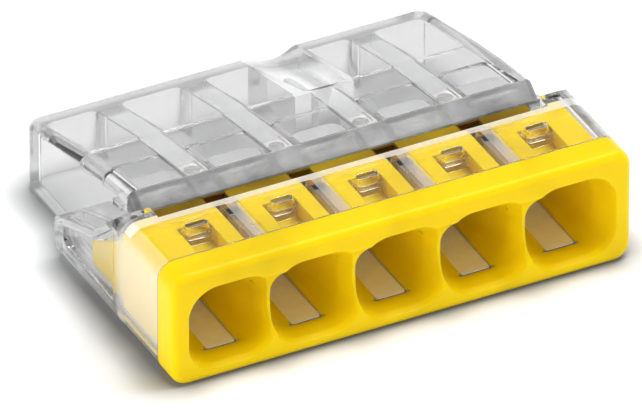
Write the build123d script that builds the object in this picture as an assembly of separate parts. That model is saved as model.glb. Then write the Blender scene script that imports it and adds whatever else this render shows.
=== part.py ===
from build123d import *
import math
import os

# Five-conductor push-in splicing connector.
# A clear housing holds a tin-plated busbar and five leaf clamping springs.
# A yellow entry cover closes the front and carries the five conductor funnels.
# Origin: bottom centre of the bounding box. +X width, +Y towards the rear, +Z up.
# All values are millimetres unless a name says otherwise.

# ---- overall size -------------------------------------------------------
WIDTH = 21.6
DEPTH = 16.6
HEIGHT = 5.5
FRONT = -DEPTH / 2
POLES = 5
PITCH = 4.0
POLE_X = [PITCH * (n - (POLES - 1) / 2) for n in range(POLES)]
DIVIDER_X = [PITCH * (n - (POLES - 2) / 2) for n in range(POLES - 1)]
FIT_GAP = 0.03
# Bodies that are joined lap over each other a little, and cutters run past the material they remove.
LAP = 0.1
OVERRUN = 1.0

# ---- entry cover --------------------------------------------------------
RIM_DEPTH = 1.4
RIM_CORNER = 0.8
RIM_FRONT_ROUND = 0.35
PLUG_HALF_WIDTH = 10.25
PLUG_END = 5.3
NOSE_END = 5.9
NOSE_HALF_WIDTH = 8.9
NOSE_CORNER = 0.2
PLUG_BOTTOM = 0.75
PLUG_TOP = 4.85
PLUG_CORNER = 0.45
PLUG_REAR_ROUND = 0.3
# Each funnel section: depth, width, bottom, top, corner radius.
FUNNEL_SECTIONS = [(-0.05, 4.12, 0.46, 4.64, 1.4),
                   (0.3, 4.0, 0.62, 4.52, 1.3),
                   (0.75, 3.82, 0.7, 4.28, 1.2),
                   (1.5, 3.35, 0.8, 3.75, 0.95),
                   (4.7, 1.8, 0.96, 3.08, 0.28)]
CHANNEL_WIDTH = 1.9
CHANNEL_BOTTOM = 0.95
CHANNEL_TOP = 3.1
CHANNEL_CORNER = 0.28
FLOOR_SLOT_HALF_WIDTH = 0.72
FLOOR_SLOT_START = 0.4
CHANNEL_FLOOR_START = 1.08
WEB_SCOOP_RADIUS = 2.2
WEB_SCOOP_DEPTH = 0.7
WEB_SCOOP_HEIGHT = 2.75
POCKET_HALF_WIDTH = 0.73
POCKET_START = 1.5
POCKET_END = 3.78
POCKET_FLOOR = 4.1
GROOVE_WIDTH = 0.9
GROOVE_FLOOR = 3.2
GROOVE_CHAMFER = 0.1
RELIEF_HALF_WIDTH = 0.5
RELIEF_START = 4.9
RELIEF_END = 5.78
RELIEF_FLOOR = 2.4
ARM_INNER_X = 9.63
ARM_THICKNESS = 0.32
ARM_PROFILE = [(5.0, 0.95), (8.6, 0.95), (8.75, 1.1), (8.75, 2.0), (8.35, 2.4), (7.3, 2.85), (6.3, 3.5),
               (5.0, 3.75)]
NIB_START = 3.2
NIB_END = 3.9
NIB_BOTTOM = 0.26
NIB_TOP = 0.77
NIB_OUTER_X = 10.4
NIB_INNER_X = 9.8

# ---- clear housing ------------------------------------------------------
WALL = 0.5
FLOOR = 0.72
PLATE_BOTTOM = 4.88
PLATE_END = 4.6
PLATE_EDGE_ROUND = 0.12
GAP_END = 5.92
GAP_HALF_WIDTH = 9.2
SLEEVE_END = 5.35
BLOCK_HALF_WIDTH = 9.55
BLOCK_WALL = 0.6
BLOCK_CORNER = 0.7
BLOCK_EDGE_ROUND = 0.4
ROOF_EDGES_ABOVE = 2.9
CREASE_DEPTH = 11.45
REAR_WALL_FACE = 15.75
BAY_HALF_WIDTH = 1.5
BAY_ROUND = 0.12
BAY_CORNER = 0.45
BLOCK_PROFILE = [(SLEEVE_END - LAP, 0.0), (DEPTH, 0.0), (DEPTH, 3.3), (CREASE_DEPTH, 4.62), (9.3, 5.06),
                 (6.75, HEIGHT), (GAP_END, 4.92), (GAP_END, FLOOR), (SLEEVE_END - LAP, FLOOR)]
CHEEK_TOP = 4.75
BAY_PROFILE = [(GAP_END - LAP, FLOOR), (REAR_WALL_FACE, FLOOR), (REAR_WALL_FACE, 2.84),
               (CREASE_DEPTH, 3.94), (9.3, 4.38), (6.85, 4.82), (6.4, 4.74), (6.0, 4.3), (GAP_END - LAP, 4.0)]
BAY_CEILING = (6.9, 2.7)
REAR_RECESS_PROFILE = [(11.55, 2.6), (REAR_WALL_FACE, 2.2), (REAR_WALL_FACE, 3.07), (11.55, 4.15)]
REAR_RECESS_CEILING = (11.6, 2.9)
FRONT_RECESS_PROFILE = [(6.35, 3.5), (9.7, 3.5), (9.7, 4.53), (6.9, 5.02), (6.35, 4.7)]
FRONT_RECESS_CEILING = (6.3, 4.3)
FRONT_RECESS_ROUND = 0.3
WING_PROFILE = [(RIM_DEPTH, 0.0), (11.15, 0.0), (11.15, 2.1), (10.2, 2.5), (7.4, 3.6), (5.9, 4.95),
                (SLEEVE_END, HEIGHT), (RIM_DEPTH, HEIGHT)]
WING_CORNER = 0.45
WING_ROUNDED_CORNERS = (1, 2, 3, 5)
WING_CAVITY_PROFILE = [(SLEEVE_END - LAP, 0.8), (10.3, 0.8), (10.65, 1.2), (10.5, 1.85), (7.25, 3.05),
                       (5.6, 4.45), (SLEEVE_END - LAP, 4.45)]
WING_CAVITY_CORNER = 0.3
WING_CAVITY_ROUNDED_CORNERS = (1, 2, 3)
WING_CAVITY_INNER_X = 9.6
WING_WINDOW_PROFILE = [(5.6, 1.05), (9.9, 1.2), (10.35, 1.45), (10.3, 2.1), (7.3, 3.3), (5.6, 4.75)]
WING_WINDOW_CORNER = 0.25
WING_WINDOW_ROUNDED_CORNERS = (1, 2, 3, 4)
WING_WINDOW_RECESS = 0.15
RIB_WIDTH = 0.55
RIB_BOTTOM = 4.1
LUG_WIDTH = 1.36
LUG_START = 3.02
LUG_END = 3.74
LUG_CORNER = 0.32
LUG_BOTTOM = 4.35
LUG_WALL = 0.18
LUG_HOLLOW_BOTTOM = 4.6
SNAP_SLOT_START = 1.6
SNAP_SLOT_END = 5.2
SNAP_SLOT_BOTTOM = 0.2
SNAP_SLOT_TOP = 0.8
SNAP_SLOT_INNER_X = 9.7
SADDLE_FRONT = 11.35
SADDLE_RISE = 0.2
SADDLE_TILT_DEG = 2.2
SADDLE_OUTLINE = [(-0.2, 0.3), (0.7, -0.05), (1.8, -0.42), (2.6, -0.42), (3.1, -0.15), (3.6, 0.3)]
GATE_BLOCK_FROM = 0.7
GATE_BLOCK_TO = 3.5
GATE_BLOCK_PROFILE = [(SADDLE_FRONT, FLOOR - LAP), (REAR_WALL_FACE + LAP, FLOOR - LAP),
                      (REAR_WALL_FACE + LAP, 3.2), (SADDLE_FRONT, 4.35)]
FLOOR_TONGUE_HALF_WIDTH = 0.95
FLOOR_TONGUE_BOTTOM = 0.1
LEDGE_OVERLAP = 0.25
LEDGE_PROFILE = [(7.6, 3.98), (8.5, 3.82), (8.5, 4.13), (7.6, 4.29)]

# ---- busbar -------------------------------------------------------------
BAR_THICKNESS = 0.4
BAR_BOTTOM = 0.35
BAR_START = 6.9
BAR_END = 9.9
BAR_HALF_LENGTH = 8.8
TAB_START = 1.15
TAB_HALF_WIDTH = 0.68
BEAD_DEPTH = 8.92
BEAD_RISE = 0.15
BEAD_RADIUS = 0.4
BEAD_HALF_LENGTH = 0.95
BAR_SEAT_GAP = 0.02
BAR_CORNER = 0.3
BAR_HOLE_RADIUS = 0.35
BAR_HOLE_DEPTH = 9.35

# ---- leaf springs -------------------------------------------------------
LEAF = 0.3
LEG_HALF_WIDTH = 1.1
TONGUE_LEAF_HALF_WIDTH = 1.0
OUTER_POLE_SHIFT = 0.27
LOOP_CENTRE_DEPTH = 6.8
LOOP_CENTRE_HEIGHT = 4.15
LOOP_RADIUS = 0.5
LEG_SLOPE_DEG = 10.0
LEG_END_DEPTH = 8.4
LEG_CORNER = 0.5
TONGUE_REST_DEG = 50.0
TONGUE_LENGTH = 3.66
PIVOT_GAP = 0.02
PIVOT_RELIEF = 0.06


def depth_to_y(depth):
    """Depth behind the front face, turned into the Y coordinate."""
    return FRONT + depth


def box_between(x_from, x_to, depth_from, depth_to, z_from, z_to):
    """Plain block given by its limits; the depths are measured from the front face."""
    centre = ((x_from + x_to) / 2, depth_to_y((depth_from + depth_to) / 2), (z_from + z_to) / 2)
    return Pos(*centre) * Box(x_to - x_from, depth_to - depth_from, z_to - z_from)


def side_prism(profile, x_from, x_to, corner=0.0, corners=()):
    """Solid with a side outline of (depth, height) pairs; numbered corners may be rounded."""
    points = [(depth_to_y(depth), height) for depth, height in profile]
    face = make_face(Polyline(*points, close=True))
    if corner > 0:
        wanted = [Vector(*points[index]) for index in corners]
        chosen = [v for v in face.vertices() if min((Vector(v) - w).length for w in wanted) < 1e-4]
        face = fillet(chosen, corner)
    plane = Plane(origin=(x_from, 0, 0), x_dir=(0, 1, 0), z_dir=(1, 0, 0))
    return extrude(plane * face, x_to - x_from)


def front_section(x_mid, depth, width, z_from, z_to, corner):
    """Rounded rectangle standing upright at a depth, facing the rear."""
    origin = (x_mid, depth_to_y(depth), (z_from + z_to) / 2)
    plane = Plane(origin=origin, x_dir=(1, 0, 0), z_dir=(0, 1, 0))
    return plane * RectangleRounded(width, z_to - z_from, corner)


def upright_tube(x_mid, depth_from, depth_to, width, z_from, z_to, corner):
    """Rounded bar running towards the rear."""
    return extrude(front_section(x_mid, depth_from, width, z_from, z_to, corner), depth_to - depth_from)


def mirror_pair(solid):
    """The solid together with its left-right mirror image."""
    return solid + mirror(solid, about=Plane.YZ)


def spring_centre(pole_x):
    """Outer poles carry their springs a little inward to clear the side walls."""
    if abs(pole_x) > PITCH * 1.5:
        return pole_x - math.copysign(OUTER_POLE_SHIFT, pole_x)
    return pole_x


def make_entry_cover():
    rim = upright_tube(0, 0, RIM_DEPTH, WIDTH, 0, HEIGHT, RIM_CORNER)
    rim = fillet(rim.edges().group_by(Axis.Y)[0], RIM_FRONT_ROUND)
    plug = upright_tube(0, RIM_DEPTH / 2, PLUG_END, 2 * PLUG_HALF_WIDTH, PLUG_BOTTOM, PLUG_TOP, PLUG_CORNER)
    plug = fillet(plug.edges().group_by(Axis.Y)[-1], PLUG_REAR_ROUND)
    nose = upright_tube(0, PLUG_END - OVERRUN, NOSE_END, 2 * NOSE_HALF_WIDTH, PLUG_BOTTOM, PLUG_TOP,
                        NOSE_CORNER)
    cover = rim + plug + nose
    arm = side_prism(ARM_PROFILE, ARM_INNER_X, ARM_INNER_X + ARM_THICKNESS)
    nib = box_between(NIB_INNER_X, NIB_OUTER_X, NIB_START, NIB_END, NIB_BOTTOM, NIB_TOP)
    cover += mirror_pair(arm)
    cover += mirror_pair(nib)
    for x in POLE_X:
        sections = [front_section(x, *section) for section in FUNNEL_SECTIONS]
        for outer_section, inner_section in zip(sections, sections[1:]):
            cover -= loft([outer_section, inner_section], ruled=True)
        cover -= upright_tube(x, WEB_SCOOP_DEPTH, NOSE_END + OVERRUN, CHANNEL_WIDTH, CHANNEL_BOTTOM,
                              CHANNEL_TOP, CHANNEL_CORNER)
        slot_half = FLOOR_SLOT_HALF_WIDTH
        slot_top = CHANNEL_BOTTOM + CHANNEL_CORNER
        cover -= box_between(x - slot_half, x + slot_half, FLOOR_SLOT_START, NOSE_END + OVERRUN, FLOOR,
                             slot_top)
        notch_half = FLOOR_TONGUE_HALF_WIDTH + FIT_GAP
        cover -= box_between(x - notch_half, x + notch_half, CHANNEL_FLOOR_START, PLUG_END, -OVERRUN,
                             FLOOR + FIT_GAP)
        cover -= box_between(x - POCKET_HALF_WIDTH, x + POCKET_HALF_WIDTH, POCKET_START, POCKET_END,
                             POCKET_FLOOR, HEIGHT)
    for x in DIVIDER_X:
        groove_half = GROOVE_WIDTH / 2
        cover -= box_between(x - groove_half, x + groove_half, RIM_DEPTH, RELIEF_START + LAP, GROOVE_FLOOR,
                             HEIGHT)
        bevel_half = groove_half + GROOVE_CHAMFER
        bevel = Polyline((x - bevel_half, PLUG_TOP), (x + bevel_half, PLUG_TOP), (x, PLUG_TOP - bevel_half),
                         close=True)
        bevel_plane = Plane(origin=(0, depth_to_y(RIM_DEPTH), 0), x_dir=(1, 0, 0), z_dir=(0, -1, 0))
        cover -= extrude(bevel_plane * make_face(bevel), -(RELIEF_START - RIM_DEPTH + LAP))
        cover -= box_between(x - RELIEF_HALF_WIDTH, x + RELIEF_HALF_WIDTH, RELIEF_START, RELIEF_END,
                             RELIEF_FLOOR, HEIGHT)
    scoop_centre = depth_to_y(WEB_SCOOP_DEPTH - WEB_SCOOP_RADIUS)
    scoop = Cylinder(WEB_SCOOP_RADIUS, POLE_X[-1] - POLE_X[0])
    cover -= Pos(0, scoop_centre, WEB_SCOOP_HEIGHT) * Rot(0, 90, 0) * scoop
    return cover


def make_block():
    """Solid wedge of the rear block with its outer edges rounded."""
    block = side_prism(BLOCK_PROFILE, -BLOCK_HALF_WIDTH, BLOCK_HALF_WIDTH)
    block = fillet(block.edges().filter_by(Axis.Z).group_by(Axis.Y)[-1], BLOCK_CORNER)
    rear_zone = DEPTH / 2 - BLOCK_CORNER - LAP / 2
    rim_edges = []
    for edge in block.edges():
        middle = edge.center()
        on_side = abs(abs(middle.X) - BLOCK_HALF_WIDTH) < 0.01
        at_rear = middle.Y > rear_zone
        upright = abs(edge.tangent_at(0.5).Z) > 0.99
        if middle.Z > ROOF_EDGES_ABOVE and (on_side or at_rear) and not upright:
            rim_edges.append(edge)
    return fillet(rim_edges, BLOCK_EDGE_ROUND)


def round_hollow(profile, left, right, ceiling, corner, edge_round):
    """Hollow with rounded upright rear corners and rounded ceiling edges past a (depth, height) limit."""
    ceiling_from, ceiling_height = ceiling
    hollow = side_prism(profile, left, right)
    hollow = fillet(hollow.edges().filter_by(Axis.Z).group_by(Axis.Y)[-1], corner)
    ceiling_edges = []
    for edge in hollow.edges():
        middle = edge.center()
        upright = abs(edge.tangent_at(0.5).Z) > 0.99
        across = abs(edge.tangent_at(0.5).X) > 0.99
        high = middle.Z > ceiling_height and middle.Y > depth_to_y(ceiling_from)
        if high and not upright and (not across or middle.Y > hollow.bounding_box().max.Y - 0.001):
            ceiling_edges.append(edge)
    return fillet(ceiling_edges, edge_round)


def make_bay(left, right):
    """Inner space of one pole: the main hollow, a thinner roof at the rear and a recess over the spring."""
    bay = round_hollow(BAY_PROFILE, left, right, BAY_CEILING, BAY_CORNER, BAY_ROUND)
    bay += round_hollow(REAR_RECESS_PROFILE, left, right, REAR_RECESS_CEILING, BAY_CORNER, BAY_ROUND)
    bay += round_hollow(FRONT_RECESS_PROFILE, left, right, FRONT_RECESS_CEILING, BAY_CORNER,
                        FRONT_RECESS_ROUND)
    return bay


def make_saddle_cutter():
    """Shallow trough on the roof over the moulding gate, following the roof slope."""
    rear_corner, crease_corner = BLOCK_PROFILE[2], BLOCK_PROFILE[3]
    run = rear_corner[0] - crease_corner[0]
    drop = crease_corner[1] - rear_corner[1]
    slope = math.degrees(math.atan2(drop, run))
    curve = Spline(*SADDLE_OUTLINE)
    lid = Line(SADDLE_OUTLINE[-1], SADDLE_OUTLINE[0])
    section = make_face(curve + lid)
    roof_at_front = rear_corner[1] + (DEPTH - SADDLE_FRONT) * drop / run
    start = (0, depth_to_y(SADDLE_FRONT), roof_at_front + SADDLE_RISE)
    plane = Plane(origin=start, x_dir=(1, 0, 0), z_dir=(0, -1, 0))
    trough = extrude(plane * section, -(DEPTH - SADDLE_FRONT + OVERRUN))
    return trough.rotate(Axis(start, (1, 0, 0)), -slope - SADDLE_TILT_DEG)


def is_plate_edge(edge):
    """True for the long top edge along the rear of the plate."""
    middle = edge.center()
    along_x = abs(edge.tangent_at(0.5).X) > 0.99
    return along_x and abs(middle.Y - depth_to_y(PLATE_END)) < 0.01 and middle.Z > HEIGHT - 0.01


def lug_shape(x, inset, z_from, z_to):
    """Upright block with rounded corners, as seen from above."""
    outline = RectangleRounded(LUG_WIDTH - 2 * inset, LUG_END - LUG_START - 2 * inset, LUG_CORNER - inset)
    foot = (x, depth_to_y((LUG_START + LUG_END) / 2), z_from)
    return extrude(Plane(origin=foot) * outline, z_to - z_from)


def make_clear_housing():
    sleeve = upright_tube(0, RIM_DEPTH + FIT_GAP, SLEEVE_END, WIDTH, 0, HEIGHT, RIM_CORNER)
    side_limit = upright_tube(0, RIM_DEPTH + FIT_GAP, DEPTH, WIDTH, 0, HEIGHT, RIM_CORNER)
    wing = side_prism(WING_PROFILE, BLOCK_HALF_WIDTH - LAP, WIDTH / 2, WING_CORNER, WING_ROUNDED_CORNERS)
    sleeve -= box_between(-GAP_HALF_WIDTH, GAP_HALF_WIDTH, PLATE_END, DEPTH, PLATE_BOTTOM - 2 * LAP,
                          HEIGHT + OVERRUN)
    sleeve = fillet([e for e in sleeve.edges() if is_plate_edge(e)], PLATE_EDGE_ROUND)
    housing = sleeve + make_block() + mirror_pair(wing & side_limit)

    plug_room = upright_tube(0, RIM_DEPTH - OVERRUN, SLEEVE_END, WIDTH - 2 * WALL, FLOOR, PLATE_BOTTOM,
                             PLUG_CORNER)
    housing -= plug_room
    inner_half = BLOCK_HALF_WIDTH - BLOCK_WALL
    cheek = box_between(inner_half, BLOCK_HALF_WIDTH, SLEEVE_END, GAP_END + LAP / 2, 0, CHEEK_TOP)
    housing += mirror_pair(cheek)
    housing -= box_between(-inner_half, inner_half, RIM_DEPTH + OVERRUN, GAP_END, FLOOR, PLATE_BOTTOM)
    for x in POLE_X:
        left = max(x - BAY_HALF_WIDTH, -inner_half)
        right = min(x + BAY_HALF_WIDTH, inner_half)
        housing -= make_bay(left, right)
        ledge_inner = LEG_HALF_WIDTH - LEDGE_OVERLAP
        housing += side_prism(LEDGE_PROFILE, left - LAP / 2, spring_centre(x) - ledge_inner)
        housing += side_prism(LEDGE_PROFILE, spring_centre(x) + ledge_inner, right + LAP / 2)
    cavity = side_prism(WING_CAVITY_PROFILE, WING_CAVITY_INNER_X, WIDTH / 2 - WALL, WING_CAVITY_CORNER,
                        WING_CAVITY_ROUNDED_CORNERS)
    housing -= mirror_pair(cavity)
    window = side_prism(WING_WINDOW_PROFILE, WIDTH / 2 - WING_WINDOW_RECESS, WIDTH / 2 + OVERRUN,
                        WING_WINDOW_CORNER, WING_WINDOW_ROUNDED_CORNERS)
    housing -= mirror_pair(window)
    slot = box_between(SNAP_SLOT_INNER_X, WIDTH, SNAP_SLOT_START, SNAP_SLOT_END, SNAP_SLOT_BOTTOM,
                       SNAP_SLOT_TOP)
    housing -= mirror_pair(slot)
    for x in DIVIDER_X:
        half = RIB_WIDTH / 2
        housing += box_between(x - half, x + half, RIM_DEPTH + FIT_GAP, PLATE_END, RIB_BOTTOM,
                               PLATE_BOTTOM + LAP)
    for x in POLE_X:
        housing += lug_shape(x, 0, LUG_BOTTOM, PLATE_BOTTOM + LAP)
        housing -= lug_shape(x, LUG_WALL, LUG_HOLLOW_BOTTOM, HEIGHT + OVERRUN)
        housing += box_between(x - FLOOR_TONGUE_HALF_WIDTH, x + FLOOR_TONGUE_HALF_WIDTH,
                               CHANNEL_FLOOR_START + FIT_GAP, RIM_DEPTH + 2 * LAP, FLOOR_TONGUE_BOTTOM, FLOOR)
    housing -= make_bar_seat()
    for x in DIVIDER_X:
        peg = Cylinder(BAR_HOLE_RADIUS - BAR_SEAT_GAP, BAR_THICKNESS + 2 * LAP)
        housing += Pos(x, depth_to_y(BAR_HOLE_DEPTH), BAR_BOTTOM + BAR_THICKNESS / 2) * peg
    housing += side_prism(GATE_BLOCK_PROFILE, GATE_BLOCK_FROM, GATE_BLOCK_TO)
    housing -= make_saddle_cutter()
    return housing


def make_bar_seat():
    """Room for the busbar and its tabs in the housing floor."""
    gap = BAR_SEAT_GAP
    bar_half = BAR_HALF_LENGTH + gap
    tab_half = TAB_HALF_WIDTH + gap
    bottom = BAR_BOTTOM - gap
    top = BAR_BOTTOM + BAR_THICKNESS + gap
    seat = box_between(-bar_half, bar_half, BAR_START - gap, BAR_END + gap, bottom, top)
    for x in POLE_X:
        seat += box_between(x - tab_half, x + tab_half, TAB_START - gap, BAR_START, bottom, top)
    return seat


def make_busbar():
    """Flat comb: a current bar with a bead and a long contact tab per pole, and holes between the poles."""
    bar_top = BAR_BOTTOM + BAR_THICKNESS
    bar = box_between(-BAR_HALF_LENGTH, BAR_HALF_LENGTH, BAR_START, BAR_END, BAR_BOTTOM, bar_top)
    bar = fillet(bar.edges().filter_by(Axis.Z), BAR_CORNER)
    for x in POLE_X:
        tab = box_between(x - TAB_HALF_WIDTH, x + TAB_HALF_WIDTH, TAB_START, BAR_START + BAR_CORNER,
                          BAR_BOTTOM, bar_top)
        bar += fillet(tab.edges().filter_by(Axis.Z).group_by(Axis.Y)[0], BAR_CORNER / 2)
    bead_limit = box_between(-WIDTH, WIDTH, BAR_START, BAR_END, BAR_BOTTOM + LAP, bar_top + OVERRUN)
    for x in POLE_X:
        bead_z = bar_top + BEAD_RISE - BEAD_RADIUS
        rod = Rot(0, 90, 0) * Cylinder(BEAD_RADIUS, 2 * BEAD_HALF_LENGTH)
        bead = Pos(spring_centre(x), depth_to_y(BEAD_DEPTH), bead_z) * rod
        bar += bead & bead_limit
    for x in DIVIDER_X:
        hole = Cylinder(BAR_HOLE_RADIUS, 4 * BAR_THICKNESS)
        bar -= Pos(x, depth_to_y(BAR_HOLE_DEPTH), BAR_BOTTOM) * hole
    return bar


def leaf_path_points():
    """Key points of the spring centre line in (depth, height)."""
    top_angle = math.radians(90 - LEG_SLOPE_DEG)
    end_angle = math.radians(270 - TONGUE_REST_DEG)
    top = (LOOP_CENTRE_DEPTH + LOOP_RADIUS * math.cos(top_angle),
           LOOP_CENTRE_HEIGHT + LOOP_RADIUS * math.sin(top_angle))
    pivot = (LOOP_CENTRE_DEPTH + LOOP_RADIUS * math.cos(end_angle),
             LOOP_CENTRE_HEIGHT + LOOP_RADIUS * math.sin(end_angle))
    return top, pivot


def make_spring_body(pole_x):
    """Fixed leg and front loop, up to the bending line."""
    x = spring_centre(pole_x)
    top, pivot = leaf_path_points()
    slope = math.tan(math.radians(LEG_SLOPE_DEG))
    leg_end = (LEG_END_DEPTH, top[1] - (LEG_END_DEPTH - top[0]) * slope)
    loop_mid_angle = math.radians((90 - LEG_SLOPE_DEG + 270 - TONGUE_REST_DEG) / 2)
    loop_mid = (LOOP_CENTRE_DEPTH + LOOP_RADIUS * math.cos(loop_mid_angle),
                LOOP_CENTRE_HEIGHT + LOOP_RADIUS * math.sin(loop_mid_angle))
    path = [(depth_to_y(depth), height) for depth, height in (leg_end, top, loop_mid, pivot)]
    outline = trace(Line(path[0], path[1]) + ThreePointArc(path[1], path[2], path[3]), LEAF)
    plane = Plane(origin=(x - LEG_HALF_WIDTH, 0, 0), x_dir=(0, 1, 0), z_dir=(1, 0, 0))
    body = extrude(plane * outline, 2 * LEG_HALF_WIDTH)
    rear_corners = [e for e in body.edges() if e.center().Y > depth_to_y(LEG_END_DEPTH) - LEAF / 2]
    rear_corners = [e for e in rear_corners if abs(e.tangent_at(0.5).X) < 0.1 and e.length < 1.5 * LEAF]
    body = fillet(rear_corners, LEG_CORNER)
    socket = Rot(0, 90, 0) * Cylinder(LEAF / 2 + PIVOT_GAP, 4 * LEG_HALF_WIDTH)
    pivot_place = Pos(x, depth_to_y(pivot[0]), pivot[1])
    relief_size = 4 * LEAF
    relief = Pos(0, relief_size / 2 - PIVOT_RELIEF, 0) * Box(4 * LEG_HALF_WIDTH, relief_size, relief_size)
    body -= pivot_place * socket
    body -= pivot_place * Rot(-TONGUE_REST_DEG, 0, 0) * relief
    return body


def make_spring_tongue(pole_x):
    """Moving tongue at rest, from its rounded root down to the clamping edge."""
    x = spring_centre(pole_x)
    pivot = leaf_path_points()[1]
    root = Rot(0, 90, 0) * Cylinder(LEAF / 2, 2 * TONGUE_LEAF_HALF_WIDTH)
    blade = Pos(0, TONGUE_LENGTH / 2, 0) * Box(2 * TONGUE_LEAF_HALF_WIDTH, TONGUE_LENGTH, LEAF)
    tongue = Rot(-TONGUE_REST_DEG, 0, 0) * (root + blade)
    return Pos(x, depth_to_y(pivot[0]), pivot[1]) * tongue


def save(solid, name):
    solid.label = name
    export_step(solid, "parts/" + name + ".step")


os.makedirs("parts", exist_ok=True)
save(make_clear_housing(), "clear_housing")
save(make_entry_cover(), "entry_cover")
save(make_busbar(), "busbar")
for number, pole in enumerate(POLE_X, start=1):
    save(make_spring_body(pole), "clamp_spring_%d" % number)
    save(make_spring_tongue(pole), "clamp_tongue_%d" % number)
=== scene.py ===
import math

import bpy
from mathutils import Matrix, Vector


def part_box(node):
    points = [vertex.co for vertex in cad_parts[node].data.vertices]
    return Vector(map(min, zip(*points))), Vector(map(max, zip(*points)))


# Push-in splicing connector in a small white studio.
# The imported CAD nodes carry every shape; this script gives them their materials, light and camera.
# Lengths are metres, and a size in millimetres is written as a number times MM.

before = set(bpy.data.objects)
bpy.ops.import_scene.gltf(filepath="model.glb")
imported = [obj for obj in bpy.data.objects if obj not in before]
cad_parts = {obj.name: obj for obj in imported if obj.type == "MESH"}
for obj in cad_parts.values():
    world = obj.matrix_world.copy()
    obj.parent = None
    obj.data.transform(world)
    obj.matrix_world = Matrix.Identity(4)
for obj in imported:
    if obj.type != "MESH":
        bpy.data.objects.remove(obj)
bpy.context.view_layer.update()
MM = 0.001

MAX_BOUNCES = 28
CLEAR_BOUNCES = 24
BEVEL_SAMPLES = 6
SHADE_SAMPLES = 24

scene = bpy.context.scene
scene.view_settings.view_transform = "Standard"
scene.cycles.max_bounces = MAX_BOUNCES
scene.cycles.transmission_bounces = CLEAR_BOUNCES
scene.cycles.transparent_max_bounces = CLEAR_BOUNCES

# ---- zones of the housing and the cover ---------------------------------
front_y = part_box("entry_cover")[0][1]


def depth_zone(start, end):
    """Y limits of a zone given by its depths behind the front face in millimetres."""
    return front_y + start * MM, front_y + end * MM


# These zones carry painted light and shade: painted grey shade on the front slope, a painted highlight on the
# plate's rear edge, painted reflections on the ribs and side walls, and painted shade in the cover's gap.
FRONT_SLOPE = depth_zone(5.7, 6.75)
FRONT_SLOPE_BOTTOM = 4.6 * MM
PLATE_REAR_EDGE = depth_zone(4.14, 4.7)
PLATE_TOP_ZONE = (5.1 * MM, 6.0 * MM)
RIB_ZONE = depth_zone(1.45, 4.2)
RIB_HEIGHTS = (4.0 * MM, 6.0 * MM)
RIB_HALF_WIDTH = 0.27 * MM
PIT_HALF_WIDTH = 0.55 * MM
HALF_PITCH = 2.0 * MM
POLE_ROW = (-9.0 * MM, 9.0 * MM)
SIDE_WALL = (10.25 * MM, 11.0 * MM)
SLEEVE_ZONE = depth_zone(1.4, 5.3)
# The cover's top in this zone, a deep gap behind the plate, gets painted shade.
GAP_ZONE = depth_zone(4.6, 5.95)
GAP_HEIGHTS = (2.2 * MM, 6.0 * MM)
# Half the width over which a zone fades out at its limits.
WIDE_FADE = 0.05 * MM
NARROW_FADE = 0.03 * MM
RIB_FADE = 0.02 * MM

# ---- clear plastic ------------------------------------------------------
CLEAR_INDEX = 1.49
CLEAR_TONE = 0.82
CLEAR_TRANSMISSION = 1.0
CLEAR_SHADOW = (0.75, 0.755, 0.76, 1)
CLEAR_EDGE_RADIUS = 0.07 * MM
CLEAR_RIPPLE_HEIGHT = 0.004 * MM
# What each zone adds to the plain tone, transmission and roughness. The tones are painted light and shade:
# the frosted front slope is also painted grey as shade, with mottled painted shade; the plate's rear edge has
# a painted white highlight; the ribs and side walls have painted pale reflections.
ZONE_PAINTED_TONES = {"slope": -0.34, "slope_mottled_shade": -0.5, "edge": 0.16, "rib": 0.14, "side": 0.14}
ZONE_TRANSMISSION = {"slope": -0.45, "edge": -0.38, "rib": -0.22, "side": -0.18}
ZONE_ROUGHNESS = {"slope": 0.34, "edge": 0.3, "rib": 0.25, "side": 0.15}

# ---- yellow plastic -----------------------------------------------------
YELLOW_DARK = (0.09, 0.04, 0.003)
YELLOW_LIGHT = (0.92, 0.65, 0.002)
YELLOW_SHEEN = (1.0, 0.82, 0.3, 1)
YELLOW_GLOW_RADII = (1.0, 0.75, 0.05)
YELLOW_GLOW_DEPTH = 0.8 * MM
YELLOW_EDGE_RADIUS = 0.09 * MM
YELLOW_GRAIN_HEIGHT = 0.0035 * MM
# Painted shade: the cover's top is darkened in the deep gap behind the plate, and darker still in the pits at
# the pole dividers.
YELLOW_PAINTED_SHADES = {"gap": -0.68, "pit": -0.2}

# ---- metals -------------------------------------------------------------
STEEL_DARK = (0.88, 0.88, 0.88)
STEEL_LIGHT = (0.96, 0.96, 0.95)
STEEL_GRAIN_STRETCH = (1, 0.06, 0.06)
STEEL_GRAIN_HEIGHT = 0.002 * MM
TIN_DARK = (0.88, 0.85, 0.8)
TIN_LIGHT = (0.96, 0.93, 0.88)
TIN_GRAIN_HEIGHT = 0.003 * MM

# ---- studio -------------------------------------------------------------
FLOOR_HALF = 3.0
FLOOR_TONE = 0.87
FLOOR_GLOW = 0.16
# Painted light: the floor under the clear housing is brightened to this tone in its colour and its glow.
COVERED_PAINTED_LIGHT = 0.56
COVERED_INSET = 0.5 * MM
COVERED_FADE = 0.3 * MM
# Painted contact shadow: the floor darkens by ambient occlusion within this reach of the connector.
CONTACT_REACH = 1.9 * MM
CONTACT_TONE = 0.24
# The floor has its darkest and its full tone at these shares of open sky.
CONTACT_SHARES = (0.5, 0.97)
WING_REACH = 9.7 * MM
WING_STEP = 1.25 * MM
# Backdrop brightness at heights from straight below (0) to straight above (1).
BACKDROP = [(0.0, 1.0), (0.2, 0.9), (0.44, 0.4), (0.62, 0.3), (0.76, 0.1), (1.0, 0.5)]
LIGHT_SIZE = 0.24
# Place and power in watts of each light; all of them face the connector.
LIGHTS = {
    "key": ((0.19, -0.01, 0.44), 1.95),
    "front": ((0.08, -0.46, 0.04), 0.22),
    "fill": ((-0.42, -0.02, 0.12), 0.95),
}

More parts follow.
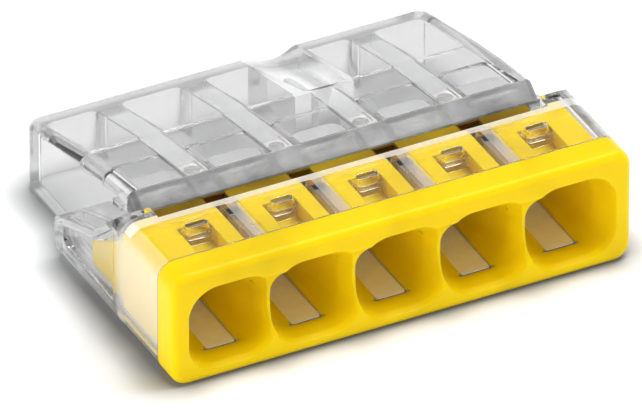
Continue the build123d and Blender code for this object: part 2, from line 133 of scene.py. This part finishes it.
# ---- camera -------------------------------------------------------------
CAMERA_DISTANCE = 0.78
HALF_WIDTH = 13.383 * MM
AIM = Vector((-3.34, -7.23, 6.40)) * MM
AZIMUTH = math.radians(-27.01)
ELEVATION = math.radians(34.16)
SENSOR = 36.0
CLIP_START = 0.01
CLIP_END = 20.0


class NodeGraph:
    """Short way to build a material's nodes."""

    def __init__(self, name):
        self.material = bpy.data.materials.new(name)
        self.material.use_nodes = True
        self.tree = self.material.node_tree
        self.tree.nodes.clear()
        self.output = self.add("OutputMaterial")
        self.shader = self.add("BsdfPrincipled")
        self.join(self.shader, "BSDF", self.output, "Surface")
        self.place = self.add("TexCoord")

    def add(self, kind, **settings):
        node = self.tree.nodes.new("ShaderNode" + kind)
        for key, value in settings.items():
            setattr(node, key, value)
        return node

    def join(self, source, output, target, socket):
        self.tree.links.new(source.outputs[output], target.inputs[socket])

    def set(self, **values):
        for key, value in values.items():
            self.shader.inputs[key.replace("_", " ")].default_value = value

    def drive(self, value, socket):
        """Links a (node, output) pair to a socket of the main shader."""
        self.join(*value, self.shader, socket)

    def stretched(self, sx, sy, sz):
        """Object coordinates in metres, stretched by a factor along each axis."""
        mapping = self.add("Mapping")
        mapping.inputs["Scale"].default_value = (sx, sy, sz)
        self.join(self.place, "Object", mapping, "Vector")
        return mapping

    def place_axes(self):
        """Object coordinates split into X, Y and Z in metres."""
        split = self.add("SeparateXYZ")
        self.join(self.place, "Object", split, "Vector")
        return split

    def noise(self, size, detail=3.0, coarse=0.5, stretch=(1, 1, 1)):
        """Noise whose grains are about this size in metres."""
        mapping = self.stretched(*stretch)
        noise = self.add("TexNoise")
        noise.inputs["Scale"].default_value = 1.0 / size
        noise.inputs["Detail"].default_value = detail
        noise.inputs["Roughness"].default_value = coarse
        self.join(mapping, "Vector", noise, "Vector")
        return noise

    def spread(self, source, output, low, high, from_low=0.3, from_high=0.7):
        """A value taken from one range to another, as a (node, output) pair."""
        spread = self.add("MapRange")
        spread.inputs["From Min"].default_value = from_low
        spread.inputs["From Max"].default_value = from_high
        spread.inputs["To Min"].default_value = low
        spread.inputs["To Max"].default_value = high
        self.join(source, output, spread, "Value")
        return spread, "Result"

    def maths(self, operation, first, second):
        """Two values joined by an operation; each is a number or a (node, output) pair."""
        node = self.add("Math", operation=operation)
        for index, item in enumerate((first, second)):
            if isinstance(item, tuple):
                self.join(*item, node, index)
            else:
                node.inputs[index].default_value = item
        return node, "Value"

    def product(self, *factors):
        """Several values multiplied; each is a number or a (node, output) pair."""
        result = factors[0]
        for factor in factors[1:]:
            result = self.maths("MULTIPLY", result, factor)
        return result

    def blended_sum(self, start, weights, masks):
        """A start value plus the weight of each zone times the zone's mask."""
        result = start
        for zone, weight in weights.items():
            result = self.maths("ADD", result, self.product(masks[zone], weight))
        return result

    def above(self, source, output, limit, fade):
        """Nought below a limit and one above it, with a soft edge."""
        return self.spread(source, output, 0.0, 1.0, limit - fade, limit + fade)

    def inside(self, source, output, limits, fade=WIDE_FADE):
        """One between two limits and nought outside them, with soft edges."""
        low, high = limits
        rise = self.above(source, output, low, fade)
        fall = self.spread(source, output, 1.0, 0.0, high - fade, high + fade)
        return self.product(rise, fall)

    def between_poles(self, axes, half_width):
        """One within a half width of each line midway between two poles."""
        from_pole = self.maths("PINGPONG", (axes, "X"), HALF_PITCH)
        return self.inside(*from_pole, (HALF_PITCH - half_width, HALF_PITCH + half_width), RIB_FADE)

    def relief(self, source, height, edge_radius=None):
        """Surface relief from a noise, over edges rounded by a radius in metres where one is given."""
        bump = self.add("Bump")
        bump.inputs["Strength"].default_value = 1.0
        bump.inputs["Distance"].default_value = height
        self.join(source, "Fac", bump, "Height")
        if edge_radius:
            bevel = self.add("Bevel", samples=BEVEL_SAMPLES)
            bevel.inputs["Radius"].default_value = edge_radius
            self.join(bevel, "Normal", bump, "Normal")
        self.join(bump, "Normal", self.shader, "Normal")

    def blend_colour(self, value, first, second, start=0.3, end=0.7):
        """Base colour that goes from one tone to another as a value rises from start to end."""
        ramp = self.add("ValToRGB")
        ramp.color_ramp.elements[0].position = start
        ramp.color_ramp.elements[0].color = (*first, 1)
        ramp.color_ramp.elements[1].position = end
        ramp.color_ramp.elements[1].color = (*second, 1)
        self.join(*value, ramp, "Fac")
        self.join(ramp, "Color", self.shader, "Base Color")

    def pass_shadows(self, colour):
        """Shadow rays see a plain transparent surface in place of the main shader."""
        path = self.add("LightPath")
        through = self.add("BsdfTransparent")
        through.inputs["Color"].default_value = colour
        mix = self.add("MixShader")
        self.join(path, "Is Shadow Ray", mix, 0)
        self.join(self.shader, "BSDF", mix, 1)
        self.join(through, "BSDF", mix, 2)
        self.join(mix, "Shader", self.output, "Surface")


def clear_plastic():
    """Polished clear moulding; its front slope is frosted and painted grey as shade, and its ribs, rear edge
    and side walls are made milky and lighter as painted highlights and reflections.
    """
    graph = NodeGraph("clear plastic")
    graph.set(IOR=CLEAR_INDEX)
    axes = graph.place_axes()
    sideways = graph.maths("ABSOLUTE", (axes, "X"), 0.0)
    # Masks for the zones: the slope gets painted grey shade, the edge a painted highlight, the ribs and side
    # walls painted reflections.
    masks = {
        "slope": graph.product(graph.inside(axes, "Y", FRONT_SLOPE),
                               graph.above(axes, "Z", FRONT_SLOPE_BOTTOM, WIDE_FADE)),
        "edge": graph.product(graph.inside(axes, "Y", PLATE_REAR_EDGE, NARROW_FADE),
                              graph.inside(axes, "Z", PLATE_TOP_ZONE, NARROW_FADE)),
        "rib": graph.product(graph.between_poles(axes, RIB_HALF_WIDTH),
                             graph.inside(axes, "X", POLE_ROW),
                             graph.inside(axes, "Y", RIB_ZONE, NARROW_FADE),
                             graph.inside(axes, "Z", RIB_HEIGHTS, NARROW_FADE)),
        "side": graph.product(graph.inside(*sideways, SIDE_WALL),
                              graph.inside(axes, "Y", SLEEVE_ZONE)),
    }
    # Mottled painted shade on the front slope: darker patches in its painted grey.
    slope_shade_noise = graph.noise(1.3 * MM, detail=4.0, coarse=0.6, stretch=(0.6, 1, 1))
    masks["slope_mottled_shade"] = graph.product(masks["slope"], graph.spread(slope_shade_noise, "Fac", 0.2, 0.75, from_low=0.35))
    polish = graph.spread(graph.noise(1.6 * MM, detail=2.0), "Fac", 0.015, 0.06)
    # The base colour carries these zones' painted shade, highlight and reflections. Lower transmission there
    # lets the painted tone show.
    graph.drive(graph.blended_sum(CLEAR_TONE, ZONE_PAINTED_TONES, masks), "Base Color")
    graph.drive(graph.blended_sum(CLEAR_TRANSMISSION, ZONE_TRANSMISSION, masks), "Transmission Weight")
    graph.drive(graph.blended_sum(polish, ZONE_ROUGHNESS, masks), "Roughness")
    graph.relief(graph.noise(1.1 * MM, detail=1.0), CLEAR_RIPPLE_HEIGHT, CLEAR_EDGE_RADIUS)
    graph.pass_shadows(CLEAR_SHADOW)
    return graph.material


def yellow_plastic():
    """Satin moulded plastic, slightly translucent, with a fine spark-eroded grain; darkened with painted
    shade in the deep gap and its pits.
    """
    graph = NodeGraph("yellow plastic")
    graph.set(Subsurface_Weight=0.25, Subsurface_Radius=YELLOW_GLOW_RADII,
              Subsurface_Scale=YELLOW_GLOW_DEPTH, Specular_IOR_Level=0.3, Specular_Tint=YELLOW_SHEEN)
    axes = graph.place_axes()
    # Painted shade in the deep gap and its pits, where the plate and the block shadow the cover.
    gap = graph.product(graph.inside(axes, "X", POLE_ROW), graph.inside(axes, "Y", GAP_ZONE),
                        graph.inside(axes, "Z", GAP_HEIGHTS))
    pit = graph.product(gap, graph.between_poles(axes, PIT_HALF_WIDTH))
    tone = graph.spread(graph.noise(4.0 * MM, detail=2.0), "Fac", 1.0, 0.72)
    shaded = graph.blended_sum(tone, YELLOW_PAINTED_SHADES, {"gap": gap, "pit": pit})
    graph.blend_colour(shaded, YELLOW_DARK, YELLOW_LIGHT, start=0.05, end=0.85)
    graph.drive(graph.spread(graph.noise(0.5 * MM), "Fac", 0.32, 0.46), "Roughness")
    graph.relief(graph.noise(0.09 * MM, detail=2.0), YELLOW_GRAIN_HEIGHT, YELLOW_EDGE_RADIUS)
    return graph.material


def spring_steel():
    """Rolled stainless strip with grain along its length."""
    graph = NodeGraph("spring steel")
    graph.set(Metallic=0.85)
    grain = graph.noise(0.05 * MM, coarse=0.6, stretch=STEEL_GRAIN_STRETCH)
    graph.blend_colour((grain, "Fac"), STEEL_DARK, STEEL_LIGHT)
    graph.drive(graph.spread(grain, "Fac", 0.38, 0.55), "Roughness")
    graph.relief(grain, STEEL_GRAIN_HEIGHT)
    return graph.material


def tinned_copper():
    """Matt tin plating, slightly cloudy."""
    graph = NodeGraph("tinned copper")
    graph.set(Metallic=0.1)
    cloud = graph.noise(0.7 * MM, detail=4.0, coarse=0.6)
    graph.blend_colour((cloud, "Fac"), TIN_DARK, TIN_LIGHT)
    graph.drive(graph.spread(cloud, "Fac", 0.5, 0.66), "Roughness")
    graph.relief(graph.noise(0.12 * MM), TIN_GRAIN_HEIGHT)
    return graph.material


def studio_floor():
    """Pale, faintly glowing floor with a painted contact shadow, and painted light where the clear housing
    covers it.
    """
    corners = [(-FLOOR_HALF, -FLOOR_HALF, 0), (FLOOR_HALF, -FLOOR_HALF, 0),
               (FLOOR_HALF, FLOOR_HALF, 0), (-FLOOR_HALF, FLOOR_HALF, 0)]
    mesh = bpy.data.meshes.new("floor")
    mesh.from_pydata(corners, [], [(0, 1, 2, 3)])
    obj = bpy.data.objects.new("floor", mesh)
    scene.collection.objects.link(obj)
    graph = NodeGraph("floor")
    graph.set(Roughness=0.9, Specular_IOR_Level=0.0, Emission_Strength=FLOOR_GLOW)
    # Painted contact shadow from ambient occlusion near the connector.
    contact = graph.add("AmbientOcclusion", samples=SHADE_SAMPLES)
    contact.inputs["Distance"].default_value = CONTACT_REACH
    shade = graph.spread(contact, "AO", CONTACT_TONE, FLOOR_TONE, *CONTACT_SHARES)
    axes = graph.place_axes()
    (low_x, low_y, _), (high_x, high_y, _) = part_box("clear_housing")
    front_inset = COVERED_INSET
    rear_inset = COVERED_INSET + WING_STEP
    # Painted light on the floor under the clear housing.
    under_front = graph.product(
        graph.inside(axes, "X", (low_x + front_inset, high_x - front_inset), COVERED_FADE),
        graph.inside(axes, "Y", (low_y, low_y + WING_REACH - COVERED_INSET), COVERED_FADE))
    under_rear = graph.product(
        graph.inside(axes, "X", (low_x + rear_inset, high_x - rear_inset), COVERED_FADE),
        graph.inside(axes, "Y", (low_y, high_y - COVERED_INSET), COVERED_FADE))
    painted_covered_light = graph.product(graph.maths("MAXIMUM", under_front, under_rear), COVERED_PAINTED_LIGHT)
    tone = graph.maths("MAXIMUM", shade, painted_covered_light)
    # The painted shadow and painted light set both the floor's colour and its glow.
    graph.drive(tone, "Base Color")
    graph.drive(tone, "Emission Color")
    mesh.materials.append(graph.material)


def studio_world():
    """Bright low backdrop all round, dimmer above it."""
    world = bpy.data.worlds.new("studio")
    scene.world = world
    world.use_nodes = True
    tree = world.node_tree
    place = tree.nodes.new("ShaderNodeTexCoord")
    split = tree.nodes.new("ShaderNodeSeparateXYZ")
    ramp = tree.nodes.new("ShaderNodeValToRGB")
    elements = ramp.color_ramp.elements
    while len(elements) < len(BACKDROP):
        elements.new(0.5)
    for element, (height, level) in zip(elements, BACKDROP):
        element.position = height
        element.color = (level, level, level, 1)
    background = tree.nodes["Background"]
    tree.links.new(place.outputs["Generated"], split.inputs["Vector"])
    tree.links.new(split.outputs["Z"], ramp.inputs["Fac"])
    tree.links.new(ramp.outputs["Color"], background.inputs["Color"])
    background.inputs["Strength"].default_value = 1.0


def area_light(name, place, power):
    """Square light at a place in metres, facing the origin."""
    data = bpy.data.lights.new(name, "AREA")
    data.size = LIGHT_SIZE
    data.energy = power
    lamp = bpy.data.objects.new(name, data)
    lamp.location = place
    lamp.rotation_euler = (-Vector(place)).to_track_quat("-Z", "Y").to_euler()
    scene.collection.objects.link(lamp)


def studio_camera():
    """Camera that looks down at the connector from the front left."""
    level = math.cos(ELEVATION)
    back = Vector((math.sin(AZIMUTH) * level, -math.cos(AZIMUTH) * level, math.sin(ELEVATION)))
    data = bpy.data.cameras.new("camera")
    data.sensor_width = SENSOR
    data.lens = SENSOR * CAMERA_DISTANCE / (2 * HALF_WIDTH)
    data.clip_start = CLIP_START
    data.clip_end = CLIP_END
    camera = bpy.data.objects.new("camera", data)
    camera.location = AIM + back * CAMERA_DISTANCE
    camera.rotation_euler = (-back).to_track_quat("-Z", "Y").to_euler()
    scene.collection.objects.link(camera)
    return camera


materials = {
    "clear_housing": clear_plastic(),
    "entry_cover": yellow_plastic(),
    "busbar": tinned_copper(),
}
steel = spring_steel()
for name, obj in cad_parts.items():
    obj.data.materials.clear()
    obj.data.materials.append(materials.get(name, steel))

studio_floor()
studio_world()
for name, (place, power) in LIGHTS.items():
    area_light(name, place, power)
scene.camera = studio_camera()
